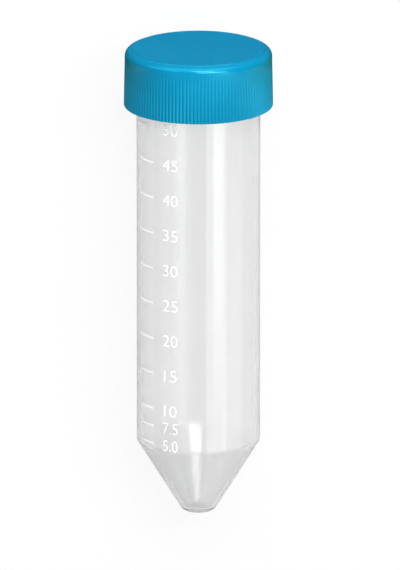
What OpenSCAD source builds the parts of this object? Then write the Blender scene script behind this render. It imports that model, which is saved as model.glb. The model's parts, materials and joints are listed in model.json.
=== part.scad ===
// 50 ml conical centrifuge tube with a ribbed screw cap, closed and lying on its side.
// Each piece is drawn upright on the Z axis, tip at the bottom and front towards -Y, and is then
// laid down: the cap's lower edge and the barrel's shoulder touch the plane z = 0.

/* [Tube] */
// Outside diameter of the straight barrel
barrel_d = 29.6; // [28:0.1:32]
// Wall thickness of the straight barrel
barrel_wall = 1.3; // [1.2:0.05:2]
// Length from the tip to the top of the closed cap
overall_l = 115; // [95:1:130]
// Height of the cone, from the tip to the shoulder
cone_h = 18; // [14:0.2:24]
// Wall thickness of the cone
cone_wall = 1.2; // [0.9:0.05:1.5]
// Thickness of the floor inside the tip
floor_t = 1.2; // [0.8:0.1:2]
// Diameter of the tip, measured where the cone would meet its flat underside
tip_d = 7.5; // [7.2:0.1:10]
// Radius that rounds the edge of the tip
tip_round = 2; // [0.8:0.1:2.3]
// Radius that rounds the shoulder between cone and barrel
shoulder_round = 1; // [0.4:0.1:2]
// Radius inside the tip and inside the shoulder
inner_round = 1.2; // [0.4:0.1:1.6]
// Step in from the barrel to the neck, under the cap
neck_step = 0.25; // [0.1:0.05:0.75]
// Radius that rounds the rim, inside and outside
rim_round = 0.4; // [0.1:0.05:0.5]

/* [Screw thread] */
// Rise of the cap for one turn
thread_pitch = 3.6; // [3.2:0.1:4.4]
// Turns of thread on the neck and in the cap
thread_turns = 1.4; // [1:0.1:1.8]
// Height of the neck's thread above the neck
neck_thread_h = 1.2; // [0.8:0.05:1.3]
// Height of the cap's thread above the cap's bore
cap_thread_h = 1; // [0.7:0.05:1.1]
// Width of both threads at their crests
thread_crest_w = 0.8; // [0.5:0.05:1]
// Angle of a thread's flanks from the flat of a turn
flank_angle = 26; // [15:1:30]
// Distance from the rim down to the middle of the neck thread's upper end
thread_drop = 2; // [1.8:0.1:2.6]
// Play along the axis between the flanks that bear
flank_play = 0.15; // [0.1:0.05:0.4]
// Play between the neck thread's crest and the cap's bore
crest_play = 0.3; // [0.2:0.05:0.5]

/* [Cap] */
// Thickness of the cap's wall at its open edge, from the bore to the ribs' points
cap_wall = 1.8; // [1.2:0.05:2.2]
// Height of the cap
cap_h = 14; // [13.4:0.1:17]
// Draft of the cap's side
cap_draft = 1.1; // [0:0.1:1.5]
// Thickness of the cap's top
cap_top_t = 1.5; // [1:0.1:2.4]
// Radius that rounds the cap's top edge
cap_top_round = 1.7; // [0.8:0.1:2]
// Radius that rounds the cap's open edge
cap_edge_round = 0.3; // [0.1:0.05:0.4]
// Step up from the cap's rounded edge to its flat top
panel_step = 0.15; // [0.1:0.05:0.4]
// Number of ribs around the cap
rib_count = 127; // [60:1:160]
// Depth of the valleys between the ribs
rib_depth = 0.3; // [0.15:0.05:0.35]
// Height of the smooth band above the ribs
rib_free_h = 2.4; // [2:0.1:4]
// Height over which the valleys run out into the smooth band
rib_runout = 0.9; // [0.4:0.1:2]

/* [Seal disc] */
// Thickness of the seal disc
seal_t = 0.8; // [0.5:0.1:1.5]
// Play between the seal disc's edge and the cap's bore
seal_play = 0.35; // [0.2:0.05:0.6]

/* [Graduation marks] */
// Volume between two numbered marks, in millilitres
mark_step = 5; // [5:5:10]
// Highest marked volume, in millilitres
mark_max = 50; // [20:5:50]
// Length of a mark around the barrel
mark_l = 5.6; // [3:0.1:8]
// Height of a mark's line
mark_w = 0.5; // [0.3:0.05:0.8]
// Thickness of the printed layer
print_t = 0.04; // [0.03:0.01:0.1]
// Gap that keeps the printed layer off the tube's surface
print_gap = 0.02; // [0.01:0.01:0.05]
// Angle from the front of the tube round to the near end of each mark
mark_angle = 46.8; // [30:0.2:90]

/* [Hidden] */
$fn = 128;

TUBE_CLEAR = [0.88, 0.90, 0.92, 0.4];
PRINT_WHITE = [0.97, 0.97, 0.97];
SEAL_WHITE = [0.93, 0.93, 0.90];
CAP_BLUE = [0.05, 0.56, 0.76];

// Overlap that joins two solids or carries a cut past a surface
sink = 0.25;
// A turn of thread is swept through this many sections
sections_per_turn = 60;
// Turn over which a thread rises from nothing at each of its ends
thread_lead = 24;
// Turn of the threads' heavy side from the back
heavy_side_turn = 19.84;
// Chamfer inside the cap's mouth
mouth_lead = 0.4;
// Volumes marked below the first full step, in millilitres
small_volumes = [5, 7.5];
// Cubic millimetres in a millilitre
MM3_PER_ML = 1000;
// Directions of the upright tube's front and back, round its axis
FRONT = 270;
BACK = 90;

barrel_r = barrel_d / 2;
bore_r = barrel_r - barrel_wall;
tip_r = tip_d / 2;
neck_r = barrel_r - neck_step;

// Cone: radius gained for each millimetre of height
cone_slope = (barrel_r - tip_r) / cone_h;
cone_angle = atan(cone_slope);
// The cone's inside keeps the wall's thickness square to the surface
cone_inner_r0 = tip_r - cone_wall / cos(cone_angle);
floor_r = cone_inner_r0 + floor_t * cone_slope;
inner_shoulder_z = (bore_r - cone_inner_r0) / cone_slope;

// Stack at the top: cap's top, seal disc, tube's rim
cap_z = overall_l - cap_h;
seal_z = overall_l - cap_top_t - seal_t;
rim_z = seal_z;

// The barrel's full diameter stops just below the cap's open edge
collar_gap = 0.2;
collar_z = cap_z - collar_gap;
collar_h = neck_step;

// Threads: the cap's ridge lies below the neck's by both half widths and the play
neck_crest_r = neck_r + neck_thread_h;
cap_bore_r = neck_crest_r + crest_play;
cap_crest_r = cap_bore_r - cap_thread_h;
flank_run = tan(flank_angle);
bearing_depth = neck_crest_r - cap_crest_r;
thread_offset = thread_crest_w + bearing_depth * flank_run + flank_play;
thread_top_z = rim_z - thread_drop;
thread_rise = thread_pitch * thread_turns;
// The stretch where a thread passes itself is its heavy side. It faces nearly the back, which lies lowest
thread_start = BACK + heavy_side_turn - 360 * (thread_turns - 1) / 2;

// Cap: outside radius at a height above its open edge
cap_base_r = cap_bore_r + cap_wall;
function cap_r(z) = cap_base_r - z * tan(cap_draft);
panel_r = cap_r(cap_h) - cap_top_round;

// Ribs: the valleys reach one radius, and their floor slopes out to the ribs' points at the top
rib_pitch_angle = 360 / rib_count;
valley_r = cap_base_r - rib_depth;
rib_top_z = cap_h - rib_free_h;
rib_top_r = cap_r(rib_top_z);
function runout_z(r) = rib_top_z - (rib_top_r - r) * rib_runout / (rib_top_r - valley_r);

// Unit vector of a 2D vector
function unit(v) = v / norm(v);

// The solid radius of the tube's outside at a height
function outside_r(z) = z < cone_h ? tip_r + z * cone_slope : barrel_r;

// Height of the surface of a volume of liquid in the upright tube, in the cone or in the barrel
cone_volume = PI / 3 * (inner_shoulder_z - floor_t)
    * (floor_r * floor_r + floor_r * bore_r + bore_r * bore_r);
function cone_level_r(v) = pow(pow(floor_r, 3) + 3 * v * cone_slope / PI, 1 / 3);
function level_z(v) = v < cone_volume
    ? floor_t + (cone_level_r(v) - floor_r) / cone_slope
    : inner_shoulder_z + (v - cone_volume) / (PI * bore_r * bore_r);

// Lying: circles of the two rounded edges that touch the plane, as [radius from the axis, height]
shoulder_centre = [
    barrel_r - shoulder_round,
    cone_h + shoulder_round * tan(cone_angle / 2)
];
edge_centre = [
    (cap_base_r - cap_edge_round) * cos(rib_pitch_angle / 2),
    cap_z + cap_edge_round
];
reach = edge_centre - shoulder_centre;
lie_angle = atan2(reach.x, reach.y) - asin((shoulder_round - cap_edge_round) / norm(reach));
lie_z = edge_centre.x * cos(lie_angle) - edge_centre.y * sin(lie_angle) + cap_edge_round;

// Ends of the lying tube along Y, from the origin of the upright one
tip_flat_r = tip_r - tip_round * tan((90 - cone_angle) / 2);
lie_y_min = -tip_flat_r * sin(lie_angle) - tip_round * (1 - cos(lie_angle));
lie_y_max = panel_r * sin(lie_angle) + overall_l * cos(lie_angle);

// Lays an upright piece on its side, its front up and the middle of its length over the origin
module lay_down() {
    translate([0, -(lie_y_min + lie_y_max) / 2, lie_z])
        rotate([lie_angle - 90, 0, 0])
            children();
}

// Region between a corner of an outline and the arc of radius r that rounds it
module corner_piece(before, corner, after, r) {
    u = unit(before - corner);
    v = unit(after - corner);
    half = acos(u * v) / 2;
    middle = unit(u + v);
    centre = corner + middle * r / sin(half);
    tangent_l = r / tan(half);
    difference() {
        polygon([corner - middle * sink, corner + u * tangent_l, centre, corner + v * tangent_l]);
        translate(centre)
            circle(r);
    }
}

// Outline drawn anticlockwise, each corner rounded by its own radius, 0 for a sharp one
module rounded_outline(points, radii) {
    n = len(points);
    turn = [for (i = [0:n - 1]) cross(
        points[i] - points[(i + n - 1) % n],
        points[(i + 1) % n] - points[i]
    )];
    difference() {
        union() {
            polygon(points);
            for (i = [0:n - 1])
                if (radii[i] > 0 && turn[i] < 0)
                    corner_piece(points[(i + n - 1) % n], points[i], points[(i + 1) % n], radii[i]);
        }
        for (i = [0:n - 1])
            if (radii[i] > 0 && turn[i] > 0)
                corner_piece(points[(i + n - 1) % n], points[i], points[(i + 1) % n], radii[i]);
    }
}

// Helical ridge with a trapezoid section, from height 0 to the thread's rise. Its root is sunk
// into the wall that carries it, and its crest comes out of the wall over the lead at each end
module thread_ridge(root_r, wall_r, crest_r) {
    steps = round(sections_per_turn * thread_turns);
    lead_steps = sections_per_turn * thread_lead / 360;
    hidden_r = (root_r + wall_r) / 2;
    function full(i) = min(1, i / lead_steps, (steps - i) / lead_steps);
    function crest_at(i) = hidden_r + (crest_r - hidden_r) * full(i);
    half_crest = thread_crest_w / 2;
    function half_w(r) = half_crest + abs(crest_r - r) * flank_run;
    function section(i) = let (
        a = thread_start + 360 * i / sections_per_turn,
        z = thread_pitch * i / sections_per_turn,
        rc = crest_at(i)
    ) [
        [root_r * cos(a), root_r * sin(a), z - half_w(root_r)],
        [rc * cos(a), rc * sin(a), z - half_w(rc)],
        [rc * cos(a), rc * sin(a), z + half_w(rc)],
        [root_r * cos(a), root_r * sin(a), z + half_w(root_r)]
    ];
    points = [for (i = [0:steps]) each section(i)];
    sides = [for (i = [0:steps - 1], k = [0:3]) let (
        here = 4 * i,
        next = here + 4,
        l = (k + 1) % 4
    ) [here + k, here + l, next + l, next + k]];
    ends = [[3, 2, 1, 0], [for (k = [0:3]) 4 * steps + k]];
    faces = concat(sides, ends);
    inward = crest_r < root_r;
    polyhedron(points, [for (f = faces) inward ? [for (k = [len(f) - 1:-1:0]) f[k]] : f]);
}

// Wall of the tube as one closed outline: outside from the tip up, then inside from the rim down
module tube() {
    wall = [
        [0, 0],
        [tip_r, 0],
        [barrel_r, cone_h],
        [barrel_r, collar_z - collar_h],
        [neck_r, collar_z],
        [neck_r, rim_z],
        [bore_r, rim_z],
        [bore_r, inner_shoulder_z],
        [floor_r, floor_t],
        [0, floor_t]
    ];
    rounds = [0, tip_round, shoulder_round, 0, 0, rim_round, rim_round, inner_round, inner_round, 0];
    color(TUBE_CLEAR)
        union() {
            rotate_extrude()
                rounded_outline(wall, rounds);
            translate([0, 0, thread_top_z - thread_rise])
                thread_ridge(neck_r - sink, neck_r, neck_crest_r);
        }
}

// White lines at the volumes, on the front left of the tube, each following the surface
module graduation_marks() {
    volumes = concat(
        [for (v = small_volumes) if (v < 2 * mark_step) v],
        [for (v = [2 * mark_step:mark_step:mark_max]) v]
    );
    arc = mark_l / barrel_r * 180 / PI;
    color(PRINT_WHITE)
        for (v = volumes)
            let (z = level_z(v * MM3_PER_ML))
                if (z + mark_w < collar_z - collar_h)
                    rotate([0, 0, FRONT - mark_angle - arc])
                        rotate_extrude(angle = arc)
                            mark_section(z - mark_w / 2, z + mark_w / 2);
}

// Section of a mark between two heights, bent at the shoulder where it crosses that
module mark_section(low, high) {
    bend = low < cone_h && high > cone_h ? [cone_h] : [];
    heights = concat([low], bend, [high]);
    inside = [for (z = heights) [outside_r(z) + print_gap, z]];
    outside = [for (i = [len(heights) - 1:-1:0]) inside[i] + [print_t, 0]];
    polygon(concat(inside, outside));
}

// Soft disc that the cap presses on the rim
module seal_disc() {
    color(SEAL_WHITE)
        translate([0, 0, seal_z])
            cylinder(r = cap_bore_r - seal_play, h = seal_t);
}

// Outside of the cap without its ribs: drafted side, rounded top edge, flat top on a small step
module cap_outside() {
    top_z = cap_h - panel_step;
    rotate_extrude()
        rounded_outline(
            [
                [0, 0],
                [cap_r(0), 0],
                [cap_r(top_z), top_z],
                [panel_r + panel_step, top_z],
                [panel_r, cap_h],
                [0, cap_h]
            ],
            [0, cap_edge_round, cap_top_round, 0, 0, 0]
        );
}

// Star-shaped bar whose points are the ribs, and the smooth bar that the valleys run out into
module rib_bar() {
    star = [for (i = [0:2 * rib_count - 1])
        let (
            a = BACK + (i + 1) * rib_pitch_angle / 2,
            r = i % 2 == 0 ? cap_base_r : valley_r
        )
        [r * cos(a), r * sin(a)]];
    ring_r = valley_r - sink;
    clear_r = cap_base_r + sink;
    linear_extrude(cap_h)
        polygon(star);
    rotate_extrude()
        polygon([
            [0, 0],
            [ring_r, 0],
            [ring_r, runout_z(ring_r)],
            [clear_r, runout_z(clear_r)],
            [clear_r, cap_h],
            [0, cap_h]
        ]);
}

// Hollow of the cap: a short lead-in at the mouth, then the bore up to the cap's top
module cap_hollow() {
    rotate_extrude()
        polygon([
            [0, -sink],
            [cap_bore_r + mouth_lead + sink, -sink],
            [cap_bore_r, mouth_lead],
            [cap_bore_r, cap_h - cap_top_t],
            [0, cap_h - cap_top_t]
        ]);
}

// Ribbed cap with its inside thread, in mesh with the neck's
module screw_cap() {
    color(CAP_BLUE)
        translate([0, 0, cap_z])
            union() {
                difference() {
                    intersection() {
                        cap_outside();
                        rib_bar();
                    }
                    cap_hollow();
                }
                translate([0, 0, thread_top_z - thread_rise - thread_offset - cap_z])
                    thread_ridge(cap_bore_r + sink, cap_bore_r, cap_crest_r);
            }
}

lay_down() tube();
lay_down() graduation_marks();
lay_down() seal_disc();
lay_down() screw_cap();
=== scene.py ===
import json
import math
import bmesh
import bpy
from mathutils import Matrix, Vector


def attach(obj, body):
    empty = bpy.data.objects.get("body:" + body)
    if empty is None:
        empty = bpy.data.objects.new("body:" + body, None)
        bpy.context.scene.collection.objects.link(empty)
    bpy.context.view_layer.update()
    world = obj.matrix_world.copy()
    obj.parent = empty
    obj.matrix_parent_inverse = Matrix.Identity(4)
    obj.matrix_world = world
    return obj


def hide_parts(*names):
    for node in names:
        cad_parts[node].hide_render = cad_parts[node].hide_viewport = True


# A 50 ml conical tube with a blue ribbed screw cap, closed and lying on its side on a white floor.
# Pieces are worked out upright on the Z axis in millimetres, tip at the bottom and front towards
# -Y, and are then laid where the frame has them.

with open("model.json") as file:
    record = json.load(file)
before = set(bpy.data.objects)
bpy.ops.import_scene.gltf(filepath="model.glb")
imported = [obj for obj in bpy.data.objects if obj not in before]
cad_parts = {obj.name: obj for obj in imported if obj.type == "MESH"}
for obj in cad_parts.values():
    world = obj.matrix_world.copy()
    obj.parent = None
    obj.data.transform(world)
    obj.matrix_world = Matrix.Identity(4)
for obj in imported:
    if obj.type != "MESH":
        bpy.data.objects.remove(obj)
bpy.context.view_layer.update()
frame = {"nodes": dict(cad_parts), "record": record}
mounts = {m["name"]: m for m in frame["record"]["mounts"]}

MM = 0.001
DEG = math.radians(1)
TAU = 2 * math.pi
TINY = 1e-6

# ---------------------------------------------------------------- sizes, in millimetres
OVERALL_L = 115.0
BARREL_R = 14.8
BARREL_WALL = 1.3
BORE_R = BARREL_R - BARREL_WALL
CONE_H = 18.0
CONE_WALL = 1.2
TIP_R = 3.75
FLOOR_T = 1.2
NECK_STEP = 0.25
NECK_R = BARREL_R - NECK_STEP
TIP_ROUND = 2.0
SHOULDER_ROUND = 1.0
INNER_ROUND = 1.2
INNER_SHOULDER_ROUND = 2.5
RIM_ROUND = 0.4

THREAD_PITCH = 3.6
THREAD_TURNS = 1.4
THREAD_START = 37.84 * DEG
THREAD_LEAD = 24 * DEG
THREAD_CREST_W = 0.8
THREAD_DROP = 2.0
NECK_THREAD_H = 1.2
CAP_THREAD_H = 1.0
FLANK_RUN = math.tan(26 * DEG)
FLANK_PLAY = 0.15
CREST_PLAY = 0.3
NECK_CREST_R = NECK_R + NECK_THREAD_H
CAP_BORE_R = NECK_CREST_R + CREST_PLAY
CAP_CREST_R = CAP_BORE_R - CAP_THREAD_H

CAP_WALL = 1.8
CAP_R = CAP_BORE_R + CAP_WALL
CAP_H = 14.0
CAP_DRAFT = math.tan(1.1 * DEG)
CAP_TOP_T = 1.5
CAP_TOP_ROUND = 1.7
CAP_EDGE_ROUND = 0.3
CAP_EDGE_INNER_R = CAP_BORE_R + 0.75
CAP_SKIN_R = CAP_BORE_R + 0.7  # a point beyond this radius is on the cap's outside
PANEL_STEP = 0.15
MOUTH_LEAD = 0.4
RIB_COUNT = 127
RIB_DEPTH = 0.3
RIB_FREE_H = 2.4
RIB_RUNOUT = 0.9
RIB_LOW_Z = 0.6  # the first row of points above the cap's rounded open edge

SEAL_T = 0.8
SEAL_PLAY = 0.35
SEAL_R = CAP_BORE_R - SEAL_PLAY
SEAL_ROUND = 0.12
SEAL_TOP_PLAY = 0.01  # keeps the turning cap off the disc

CAP_Z = OVERALL_L - CAP_H
RIM_Z = OVERALL_L - CAP_TOP_T - SEAL_T
COLLAR_PLAY = 0.2
COLLAR_Z = CAP_Z - COLLAR_PLAY
CONE_SLOPE = (BARREL_R - TIP_R) / CONE_H
CONE_INNER_R0 = TIP_R - CONE_WALL * math.hypot(1, CONE_SLOPE)
INNER_SHOULDER_Z = (BORE_R - CONE_INNER_R0) / CONE_SLOPE
FLOOR_R = CONE_INNER_R0 + FLOOR_T * CONE_SLOPE
NECK_THREAD_Z = RIM_Z - THREAD_DROP - THREAD_PITCH * THREAD_TURNS
CREST_GAP = NECK_CREST_R - CAP_CREST_R
CAP_THREAD_Z = NECK_THREAD_Z - THREAD_CREST_W - CREST_GAP * FLANK_RUN - FLANK_PLAY

# ---------------------------------------------------------------- where the upright tube lies
AXIS = Vector(mounts["cap_top"]["axis"]).normalized()
TIP = Vector(mounts["cap_top"]["pos_m"]) - AXIS * OVERALL_L * MM
RIGHT = Vector((1, 0, 0))
BACK = AXIS.cross(RIGHT)
TURN = Matrix((RIGHT, BACK, AXIS)).transposed()
LAID = Matrix.Translation(TIP) @ TURN.to_4x4()


def laid(x, y, z):
    """A point of the upright tube, in millimetres, where it lies in the frame, in metres."""
    return LAID @ (Vector((x, y, z)) * MM)


# ---------------------------------------------------------------- meshes
SHARP_ANGLE = 35 * DEG


def make_piece(name, points, faces, body, material, slot):
    """A piece from upright points in millimetres, riding on a body."""
    mesh = bpy.data.meshes.new(name)
    mesh.from_pydata([laid(*p) for p in points], [], faces)
    mesh.validate()
    piece = bpy.data.objects.new(name, mesh)
    bpy.context.scene.collection.objects.link(piece)
    mesh.materials.append(material)
    mesh.shade_smooth()
    mesh.set_sharp_from_angle(angle=SHARP_ANGLE)
    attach(piece, body)
    return piece


def arc_corner(before, corner, after, radius, steps):
    """Points that round a corner of an outline by an arc."""
    u, v = (before - corner).normalized(), (after - corner).normalized()
    half = u.angle(v) / 2
    centre = corner + (u + v).normalized() * radius / math.sin(half)
    start = corner + u * radius / math.tan(half) - centre
    end = corner + v * radius / math.tan(half) - centre
    turn = start.angle(end)
    points = []
    for k in range(steps + 1):
        from_start, from_end = math.sin(turn * (1 - k / steps)), math.sin(turn * k / steps)
        points.append(centre + (start * from_start + end * from_end) / math.sin(turn))
    return points


def outline(corners):
    """Corners as (radius, height) or (radius, height, rounding, arc steps), made into points."""
    at = [Vector(c[:2]) for c in corners]
    points = []
    for i, corner in enumerate(corners):
        if len(corner) > 2:
            points += arc_corner(at[i - 1], at[i], at[i + 1], *corner[2:])
        else:
            points.append(at[i])
    return points


def between(low, high, count):
    """Even steps from one (radius, height) to another, both ends left out."""
    low, high = Vector(low), Vector(high)
    return [tuple(low.lerp(high, k / count)) for k in range(1, count)]


def lathe(points, segments, shape=None):
    """Vertices and faces of an outline turned round Z. segments is a count for each point: counts
    of neighbours are equal, or one is a multiple of the other. shape(angle, r, z) gives the
    radius to use instead of r."""
    rings, vertices, faces = [], [], []
    for (r, z), count in zip(points, segments):
        first = len(vertices)
        if r < TINY:
            vertices.append((0, 0, z))
            rings.append([first])
            continue
        for k in range(count):
            a = TAU * k / count
            moved = shape(a, r, z) if shape else r
            vertices.append((moved * math.cos(a), moved * math.sin(a), z))
        rings.append(list(range(first, first + count)))
    for low, high in zip(rings, rings[1:]):
        few = min(n for n in (len(low), len(high)) if n > 1)
        for k in range(few):
            face = []
            for ring, backwards in ((low, False), (high, True)):
                step = len(ring) // few
                corners = ring
                if step:
                    corners = [ring[(k * step + i) % len(ring)] for i in range(step + 1)]
                face += corners[::-1] if backwards else corners
            faces.append(tuple(face))
    return vertices, faces


def thread_height(angle, z, full, bottom_z):
    """How far a thread stands out of its wall at an angle and a height; 0 away from the thread."""
    length = TAU * THREAD_TURNS
    best = 0.0
    for turn in range(math.ceil(THREAD_TURNS) + 1):
        along = (angle - THREAD_START) % TAU + TAU * turn
        if along > length:
            break
        ramp = min(1, along / THREAD_LEAD, (length - along) / THREAD_LEAD)
        off = abs(z - bottom_z - THREAD_PITCH * along / TAU)
        rise = full - max(0, off - THREAD_CREST_W / 2) / FLANK_RUN
        best = max(best, min(rise, full * ramp))
    return best


# ---------------------------------------------------------------- materials
def nodes_of(name):
    """A new material, its node tree, its Principled shader and its output."""
    material = bpy.data.materials.new(name)
    material.use_nodes = True
    tree = material.node_tree
    return material, tree, tree.nodes["Principled BSDF"], tree.nodes["Material Output"]


def feed(tree, node, inputs):
    """Sets inputs of a node: each to a value, or by a link if it is given an output."""
    for name, value in inputs.items():
        if isinstance(value, bpy.types.NodeSocket):
            tree.links.new(value, node.inputs[name])
        else:
            node.inputs[name].default_value = value


def add(tree, kind, inputs, **settings):
    """A new node with its settings and its inputs."""
    node = tree.nodes.new("ShaderNode" + kind)
    for name, value in settings.items():
        setattr(node, name, value)
    feed(tree, node, inputs)
    return node


def coordinates(tree, kind):
    """The place in the object's own space, or the normal there."""
    return add(tree, "TexCoord", {}).outputs[kind]


NOISE_ROUGHNESS = 0.55


def noise(tree, scale, detail, stretch=(1, 1, 1)):
    """Noise in the object's own space, scale in cells a metre, stretched along x, y or z."""
    mapping = add(tree, "Mapping", {"Vector": coordinates(tree, "Object"), "Scale": stretch})
    inputs = {"Vector": mapping.outputs["Vector"], "Scale": scale, "Detail": detail}
    return add(tree, "TexNoise", {**inputs, "Roughness": NOISE_ROUGHNESS}).outputs["Fac"]


def ranged(tree, value, from_low, from_high, low=0.0, high=1.0):
    """A value carried from one range to another."""
    inputs = {"Value": value, "From Min": from_low, "From Max": from_high}
    return add(tree, "MapRange", {**inputs, "To Min": low, "To Max": high}).outputs["Result"]


NOISE_LOW, NOISE_HIGH = 0.3, 0.7


def varied(tree, texture, low, high):
    """A number that varies with a noise."""
    return ranged(tree, texture, NOISE_LOW, NOISE_HIGH, low, high)


def coloured(tree, texture, low, high):
    """A colour that varies between two with a noise."""
    ramp = add(tree, "ValToRGB", {"Fac": texture})
    ends = zip(ramp.color_ramp.elements, (NOISE_LOW, NOISE_HIGH), (low, high))
    for element, position, colour in ends:
        element.position = position
        element.color = (*colour, 1)
    return ramp.outputs["Color"]


def grey(value):
    """A grey as a colour."""
    return (value, value, value)


# A mix node has several inputs of one name, so these are the numbers of those for colours.
MIX_FACTOR, MIX_FIRST, MIX_SECOND, MIX_COLOUR = 0, 6, 7, 2


def tinted(tree, share, colour, tint):
    """A colour multiplied by a tint, as far as a share from 0 to 1 says."""
    inputs = {MIX_FACTOR: share, MIX_FIRST: colour, MIX_SECOND: (*tint, 1)}
    node = add(tree, "Mix", inputs, data_type="RGBA", blend_type="MULTIPLY")
    return node.outputs[MIX_COLOUR]


def bumped(tree, texture, strength, distance, under=None):
    """A normal bumped by a texture, on top of another bump."""
    inputs = {"Height": texture, "Strength": strength, "Distance": distance}
    if under:
        inputs["Normal"] = under
    return add(tree, "Bump", inputs).outputs["Normal"]


def maths(tree, operation, *values):
    """Numbers or outputs put through one operation."""
    return add(tree, "Math", dict(enumerate(values)), operation=operation).outputs[0]


def edge_on(tree):
    """0 where a surface faces the viewer, up to 1 where it is seen edge on."""
    return add(tree, "LayerWeight", {"Blend": 0.5}).outputs["Facing"]


def along(tree):
    """The place along the lying tube, in metres, from its tip's end to its cap's."""
    place = coordinates(tree, "Object")
    return add(tree, "SeparateXYZ", {"Vector": place}).outputs["Y"]


CONE_GREY_FADE = 0.6  # millimetres to each side of the shoulder


def clear_plastic():
    """Hazy clear plastic: whiter where it is seen edge on, greyer in the cone."""
    material, tree, shader, output = nodes_of("clear_plastic")
    haze = noise(tree, 60, 2, stretch=(1, 0.25, 1))
    tint = coloured(tree, haze, (0.911, 0.914, 0.916), grey(0.928))
    # The colour turns greyer below the shoulder, in the cone.
    barrel_y = laid(0, 0, CONE_H + CONE_GREY_FADE).y
    cone_y = laid(0, 0, CONE_H - CONE_GREY_FADE).y
    cone_greying = ranged(tree, along(tree), barrel_y, cone_y)
    flow = noise(tree, 140, 1, stretch=(1, 0.08, 1))
    feed(tree, shader, {
        "IOR": 1.49,
        "Base Color": tinted(tree, cone_greying, tint, grey(0.935)),
        "Transmission Weight": ranged(tree, edge_on(tree), 0.1, 0.95, 0.95, 0.68),
        "Roughness": varied(tree, haze, 0.10, 0.14),
        "Normal": bumped(tree, flow, 0.12, 0.0002),
    })
    depth = add(tree, "VolumeAbsorption", {"Color": (*grey(0.80), 1), "Density": 120})
    feed(tree, output, {"Volume": depth.outputs[0]})
    return material


# The cap's roughness by how far its surface faces along the axis: 0 on the ribbed side, between
# on the rounded edge and 1 on the flat top.
CAP_FINISH = ((0.05, 0.38), (0.15, 0.17), (0.85, 0.17), (0.99, 0.35))


def cap_finish(tree, upward):
    """The cap's roughness, from the part of the normal along the axis."""
    finish = add(tree, "ValToRGB", {"Fac": upward})
    elements = finish.color_ramp.elements
    elements[0].position, elements[1].position = CAP_FINISH[0][0], CAP_FINISH[-1][0]
    for position, _ in CAP_FINISH[1:-1]:
        elements.new(position)
    for element, (_, roughness) in zip(elements, CAP_FINISH):
        element.color = (*grey(roughness), 1)
    return finish.outputs["Color"]


def blue_plastic():
    """Moulded blue plastic, glossier on the rounded top edge than on the ribs and matt on top, with
    a painted shade that makes its side darker and greener where it is seen edge on."""
    material, tree, shader, _ = nodes_of("blue_plastic")
    cloud = noise(tree, 90, 4)
    blue = coloured(tree, cloud, (0.001, 0.187, 0.348), (0.0015, 0.203, 0.378))
    dot = {0: coordinates(tree, "Normal"), 1: AXIS}
    upward = add(tree, "VectorMath", dot, operation="DOT_PRODUCT").outputs["Value"]
    # Painted shade: where the side is seen edge on, the blue is darkened and turned greener.
    seen_edge_on = ranged(tree, edge_on(tree), 0.15, 0.8)
    on_side = ranged(tree, upward, 0.9, 0.3)
    painted_edge_shade = maths(tree, "MULTIPLY", seen_edge_on, on_side)
    uneven = varied(tree, cloud, 0.9, 1.1)
    wave = bumped(tree, noise(tree, 220, 2), 0.15, 0.0003)
    feed(tree, shader, {
        "Base Color": tinted(tree, painted_edge_shade, blue, (0.8, 0.85, 0.55)),
        "Roughness": maths(tree, "MULTIPLY", cap_finish(tree, upward), uneven),
        "Specular IOR Level": 0.65,
        "Specular Tint": (0.15, 1.0, 0.85, 1),
        "Normal": bumped(tree, noise(tree, 2600, 2), 0.12, 0.00004, wave),
    })
    return material


def white_material(name, scale, detail, colours, roughness, bump):
    """A plain white material, uneven by one noise in its colour, roughness and surface."""
    material, tree, shader, _ = nodes_of(name)
    texture = noise(tree, scale, detail)
    feed(tree, shader, {
        "Base Color": coloured(tree, texture, *colours),
        "Roughness": varied(tree, texture, *roughness),
        "Normal": bumped(tree, texture, *bump),
    })
    return material


CLEAR, BLUE = clear_plastic(), blue_plastic()
PRINT = white_material(
    "white_print", 900, 4, (grey(0.87), grey(0.93)), (0.4, 0.6), (0.2, 0.00002)
)
SEAL = white_material(
    "white_seal", 1500, 3, ((0.80, 0.80, 0.77), (0.88, 0.88, 0.86)), (0.5, 0.7), (0.3, 0.00005)
)

# ---------------------------------------------------------------- tube
TUBE_SEGMENTS = 288
THREAD_STEPS = 44  # even steps up the neck, and up the cap's bore
tube_outline = outline(
    [
        (0, 0),
        (TIP_R, 0, TIP_ROUND, 8),
        *between((TIP_R, 0), (BARREL_R, CONE_H), 4),
        (BARREL_R, CONE_H, SHOULDER_ROUND, 6),
        *between((BARREL_R, CONE_H), (BARREL_R, COLLAR_Z), 8),
        (BARREL_R, COLLAR_Z - NECK_STEP),
        (NECK_R, COLLAR_Z),
        *between((NECK_R, COLLAR_Z), (NECK_R, RIM_Z), THREAD_STEPS),
        (NECK_R, RIM_Z, RIM_ROUND, 4),
        (BORE_R, RIM_Z, RIM_ROUND, 4),
        *between((BORE_R, RIM_Z), (BORE_R, INNER_SHOULDER_Z), 8),
        (BORE_R, INNER_SHOULDER_Z, INNER_SHOULDER_ROUND, 10),
        *between((BORE_R, INNER_SHOULDER_Z), (FLOOR_R, FLOOR_T), 4),
        (FLOOR_R, FLOOR_T, INNER_ROUND, 6),
        (0, FLOOR_T),
    ]
)


def neck_shape(angle, r, z):
    """The neck's outside with the thread."""
    if abs(r - NECK_R) > TINY:
        return r
    return r + thread_height(angle, z, NECK_CREST_R - NECK_R, NECK_THREAD_Z)


tube = make_piece(
    "tube_wall",
    *lathe(tube_outline, [TUBE_SEGMENTS] * len(tube_outline), neck_shape),
    "tube", CLEAR, "clear_plastic",
)
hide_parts("tube")

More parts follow.
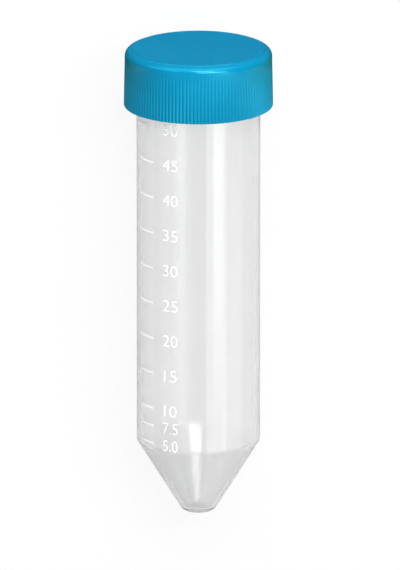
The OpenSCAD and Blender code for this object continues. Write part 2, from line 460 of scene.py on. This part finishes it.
# ---------------------------------------------------------------- cap
RIB_SEGMENTS = 8
CAP_FINE = RIB_COUNT * RIB_SEGMENTS
CAP_COARSE = RIB_COUNT * 2
PANEL_R = CAP_R - CAP_H * CAP_DRAFT - CAP_TOP_ROUND
RIB_TOP_Z = CAP_H - RIB_FREE_H
RUNOUT_Z = RIB_TOP_Z - RIB_RUNOUT
RUNOUT_MARGIN = 0.1  # the close rows of points start below the ribs' run-out and end above it
VALLEY_R = CAP_R - RIB_DEPTH


def side_r(z):
    """Radius of the side without its ribs, at a height above the cap's open edge."""
    return CAP_R - z * CAP_DRAFT


def rib_r(angle, z):
    """Radius of the ribbed side at a height above the cap's open edge."""
    wave = (1 + math.cos(RIB_COUNT * (angle - TAU / 4) - TAU / 2)) / 2
    ribbed = VALLEY_R + (CAP_R - VALLEY_R) * wave
    runout = VALLEY_R + (z - RUNOUT_Z) / RIB_RUNOUT * (side_r(RIB_TOP_Z) - VALLEY_R)
    return max(ribbed, runout)


def cap_shape(angle, r, z):
    """The cap's outside cut by its ribs, and its bore with the thread."""
    if r > CAP_SKIN_R:
        return min(r, rib_r(angle, z - CAP_Z))
    if abs(r - CAP_BORE_R) < TINY:
        return r - thread_height(angle, z, CAP_BORE_R - CAP_CREST_R, CAP_THREAD_Z)
    return r


top_z = CAP_H - PANEL_STEP
rib_top_r = side_r(RIB_TOP_Z)
cap_side = outline(
    [
        (CAP_EDGE_INNER_R, 0),
        (side_r(0), 0, CAP_EDGE_ROUND, 5),
        (side_r(RIB_LOW_Z), RIB_LOW_Z),
        *between((side_r(0), RIB_LOW_Z), (rib_top_r, RUNOUT_Z), 6),
        *between(
            (rib_top_r, RUNOUT_Z - RUNOUT_MARGIN), (rib_top_r, RIB_TOP_Z + RUNOUT_MARGIN), 10
        ),
    ]
)
cap_rounding = arc_corner(
    Vector((side_r(0), 0)), Vector((side_r(top_z), top_z)), Vector((0, top_z)), CAP_TOP_ROUND, 12
)
cap_top = outline(
    [
        (PANEL_R + PANEL_STEP, top_z),
        (PANEL_R, CAP_H),
        *between((PANEL_R, CAP_H), (0, CAP_H), 4),
        (0, CAP_H),
    ]
)
cap_inside = outline(
    [
        (0, CAP_H - CAP_TOP_T),
        (CAP_BORE_R, CAP_H - CAP_TOP_T),
        *between((CAP_BORE_R, CAP_H - CAP_TOP_T), (CAP_BORE_R, MOUTH_LEAD), THREAD_STEPS),
        (CAP_BORE_R, MOUTH_LEAD),
        (CAP_BORE_R + MOUTH_LEAD, 0),
    ]
)
cap_outline, cap_segments = [], []
for part, count in (
    (cap_inside, CAP_COARSE), (cap_side, CAP_FINE), (cap_rounding, CAP_FINE), (cap_top, CAP_COARSE),
):
    cap_outline += [Vector((r, CAP_Z + z)) for r, z in part]
    cap_segments += [count] * len(part)
cap = make_piece(
    "cap_shell",
    *lathe(cap_outline, cap_segments, cap_shape),
    "cap", BLUE, "blue_plastic",
)
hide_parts("screw_cap")

# ---------------------------------------------------------------- seal disc
SEAL_SEGMENTS = 192
seal_top_z = RIM_Z + SEAL_T - SEAL_TOP_PLAY
seal_outline = outline(
    [
        (0, RIM_Z),
        (SEAL_R, RIM_Z, SEAL_ROUND, 3),
        (SEAL_R, seal_top_z, SEAL_ROUND, 3),
        (0, seal_top_z),
    ]
)
seal = make_piece(
    "seal_liner",
    *lathe(seal_outline, [SEAL_SEGMENTS] * len(seal_outline)),
    "seal", SEAL, "white_seal",
)
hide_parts("seal_disc")

# ---------------------------------------------------------------- scale
bars = frame["nodes"]["graduation_marks"].data  # the CAD's own bars are shown, in white print
bars.materials.clear()
bars.materials.append(PRINT)


def level_z(volume):
    """Height of the surface of a volume in millilitres in the upright tube."""
    mm3 = volume * 1000
    cone_h = INNER_SHOULDER_Z - FLOOR_T
    cone = math.pi / 3 * cone_h * (FLOOR_R**2 + FLOOR_R * BORE_R + BORE_R**2)
    if mm3 < cone:
        surface_r = (FLOOR_R**3 + 3 * mm3 * CONE_SLOPE / math.pi) ** (1 / 3)
        return FLOOR_T + (surface_r - FLOOR_R) / CONE_SLOPE
    return INNER_SHOULDER_Z + (mm3 - cone) / (math.pi * BORE_R**2)


NUMERAL_H = 2.8
NUMERAL_W = 3.9
NUMERAL_W_WITH_ONE = 3.3
NUMERAL_MID = 270 * DEG - 27.2 * DEG  # the front is at 270 degrees
NUMERAL_THINNED = -0.012
NUMERAL_CUTS = 16  # columns that let the flat letters bend round the barrel
LABELS = ("5.0", "7.5", "10", "15", "20", "25", "30", "35", "40", "45", "50")
PRINT_LOW, PRINT_HIGH = BARREL_R + 0.02, BARREL_R + 0.06


def numeral(label, width):
    """Flat solid letters as a bmesh, x and y centred on 0 in millimetres and z from 0 to 1."""
    curve = bpy.data.curves.new("numeral", "FONT")
    curve.body = label
    curve.extrude = 0.5
    curve.offset = NUMERAL_THINNED
    curve.resolution_u = 6
    holder = bpy.data.objects.new("numeral", curve)
    bpy.context.scene.collection.objects.link(holder)
    bpy.context.view_layer.update()
    evaluated = holder.evaluated_get(bpy.context.evaluated_depsgraph_get())
    mesh = bpy.data.meshes.new_from_object(evaluated)
    flat = bmesh.new()
    flat.from_mesh(mesh)
    bpy.data.objects.remove(holder)
    bpy.data.curves.remove(curve)
    bpy.data.meshes.remove(mesh)
    xs, ys = [v.co.x for v in flat.verts], [v.co.y for v in flat.verts]
    for v in flat.verts:
        v.co.x = (v.co.x - (min(xs) + max(xs)) / 2) * width / (max(xs) - min(xs))
        v.co.y = (v.co.y - (min(ys) + max(ys)) / 2) * NUMERAL_H / (max(ys) - min(ys))
        v.co.z += 0.5
    for k in range(1, NUMERAL_CUTS):
        bmesh.ops.bisect_plane(
            flat,
            geom=flat.verts[:] + flat.edges[:] + flat.faces[:],
            plane_co=(width * (k / NUMERAL_CUTS - 0.5), 0, 0),
            plane_no=(1, 0, 0),
        )
    return flat


points, faces = [], []
for label in LABELS:
    flat = numeral(label, NUMERAL_W_WITH_ONE if "1" in label else NUMERAL_W)
    first = len(points)
    middle = level_z(float(label))
    for v in flat.verts:
        r = PRINT_LOW + (PRINT_HIGH - PRINT_LOW) * v.co.z
        a = NUMERAL_MID + v.co.x / BARREL_R
        points.append((r * math.cos(a), r * math.sin(a), middle + v.co.y))
    faces += [tuple(first + v.index for v in f.verts) for f in flat.faces]
    flat.free()
make_piece("scale_numerals", points, faces, "tube", PRINT, "white_print")

# ---------------------------------------------------------------- floor
FLOOR_REACH = 3.0
FLOOR_GLOW = 0.9
FLOOR_MIRRORED = 0.62
FLOOR_MIRRORED_BY_CAP = 0.02
MIRRORED_FADE = 12.0  # millimetres along the tube, up to the cap's open edge


def floor_material():
    """A matt white floor. It glows to the camera and through the plastic, so that it stays white,
    and in reflections it is dimmer, most of all near the cap."""
    material, tree, shader, output = nodes_of("floor_white")
    white = coloured(tree, noise(tree, 40, 2), grey(0.66), grey(0.68))
    feed(tree, shader, {"Base Color": white, "Roughness": 0.9, "Specular IOR Level": 0.1})
    path = add(tree, "LightPath", {}).outputs
    seen = maths(tree, "MAXIMUM", path["Is Camera Ray"], path["Is Transmission Ray"])
    barrel_y, cap_y = laid(0, 0, CAP_Z - MIRRORED_FADE).y, laid(0, 0, CAP_Z).y
    mirrored = ranged(tree, along(tree), barrel_y, cap_y, FLOOR_MIRRORED, FLOOR_MIRRORED_BY_CAP)
    glow = add(tree, "Emission", {"Strength": maths(tree, "MAXIMUM", seen, mirrored)})
    seen_share = maths(tree, "MULTIPLY", seen, FLOOR_GLOW)
    share = maths(tree, "MAXIMUM", seen_share, path["Is Glossy Ray"])
    mix = add(tree, "MixShader", {0: share, 1: shader.outputs[0], 2: glow.outputs[0]})
    feed(tree, output, {"Surface": mix.outputs[0]})
    return material


floor_mesh = bpy.data.meshes.new("floor")
square = ((-1, -1), (1, -1), (1, 1), (-1, 1))
corners = [(x * FLOOR_REACH, y * FLOOR_REACH, 0) for x, y in square]
floor_mesh.from_pydata(corners, [], [(0, 1, 2, 3)])
floor_mesh.materials.append(floor_material())
floor = bpy.data.objects.new("floor", floor_mesh)
bpy.context.scene.collection.objects.link(floor)

# ---------------------------------------------------------------- light
WORLD_LIT = 0.24
WORLD_MIRRORED = 0.08
WORLD_THROUGH = 1.0
world = bpy.data.worlds.new("studio")
bpy.context.scene.world = world
world.use_nodes = True
tree = world.node_tree
background = tree.nodes["Background"]
path = add(tree, "LightPath", {}).outputs
mirrored = maths(tree, "MULTIPLY_ADD", path["Is Glossy Ray"], WORLD_MIRRORED - WORLD_LIT, WORLD_LIT)
through = maths(tree, "MULTIPLY", path["Is Transmission Ray"], WORLD_THROUGH)
strength = maths(tree, "MAXIMUM", mirrored, through)
strength = maths(tree, "MAXIMUM", path["Is Camera Ray"], strength)
feed(tree, background, {"Color": (1, 1, 1, 1), "Strength": strength})

AIM = laid(0, 0, 60)


def softbox(name, azimuth, elevation, distance, width, height, radiance):
    """An area lamp aimed at the tube. Azimuth is in degrees round the upright tube, from its front
    towards its right, elevation is in degrees up towards its cap, and lengths are in metres."""
    a, e = azimuth * DEG, elevation * DEG
    upright = Vector((math.sin(a) * math.cos(e), -math.cos(a) * math.cos(e), math.sin(e)))
    towards = TURN @ upright
    data = bpy.data.lights.new(name, "AREA")
    data.shape = "RECTANGLE"
    data.size, data.size_y = width, height
    data.energy = radiance * width * height * math.pi
    lamp = bpy.data.objects.new(name, data)
    bpy.context.scene.collection.objects.link(lamp)
    up = AXIS - AXIS.project(towards)
    side_way = up.cross(towards)
    rotation = Matrix((side_way.normalized(), up.normalized(), towards)).transposed()
    lamp.matrix_world = Matrix.Translation(AIM + towards * distance) @ rotation.to_4x4()
    lamp.visible_camera = False


SOFTBOXES = (
    # name, azimuth, elevation, distance, width, height, radiance
    ("right_strip", 38, -3, 0.9, 0.30, 0.45, 2.1),  # the barrel's highlight, fading downwards
    ("right_soft", 34, -14, 0.92, 0.62, 0.5, 1.4),
    ("right_fill", 74, -28, 0.95, 0.9, 0.5, 1.1),
    ("left_strip", -31, -10, 0.9, 0.24, 0.45, 0.45),
    ("low_fill", -30, -42, 1.0, 1.0, 0.4, 1.5),
    ("edge_bar", 22, 24, 0.9, 0.7, 0.11, 22.0),  # the highlight on the cap's rounded edge
    ("front_top", 9, 47, 0.9, 0.43, 0.22, 11.5),  # the stripe in the cone
    ("left_top", -66, 37, 0.95, 1.1, 0.34, 1.7),
    ("cap_fill", 0, 70, 1.0, 1.5, 0.8, 1.8),
)
for row in SOFTBOXES:
    softbox(*row)

# ---------------------------------------------------------------- camera
ELEVATION = 16.16 * DEG
LENS = 1100
SENSOR = 36
FIELD = 136.6 * MM  # height of the picture at the tube
CLIP_START = 0.1
TARGET = laid(0.37, 0, 56.13)
data = bpy.data.cameras.new("camera")
data.lens = LENS
data.sensor_width = SENSOR
distance = FIELD * LENS / SENSOR
data.clip_start = CLIP_START
data.clip_end = distance * 2
camera = bpy.data.objects.new("camera", data)
bpy.context.scene.collection.objects.link(camera)
outward = TURN @ Vector((0, -math.cos(ELEVATION), math.sin(ELEVATION)))
upward = (AXIS - AXIS.project(outward)).normalized()
rotation = Matrix((upward.cross(outward), upward, outward)).transposed()
camera.matrix_world = Matrix.Translation(TARGET + outward * distance) @ rotation.to_4x4()
bpy.context.scene.camera = camera
bpy.context.scene.view_settings.view_transform = "Standard"

bpy.context.view_layer.update()
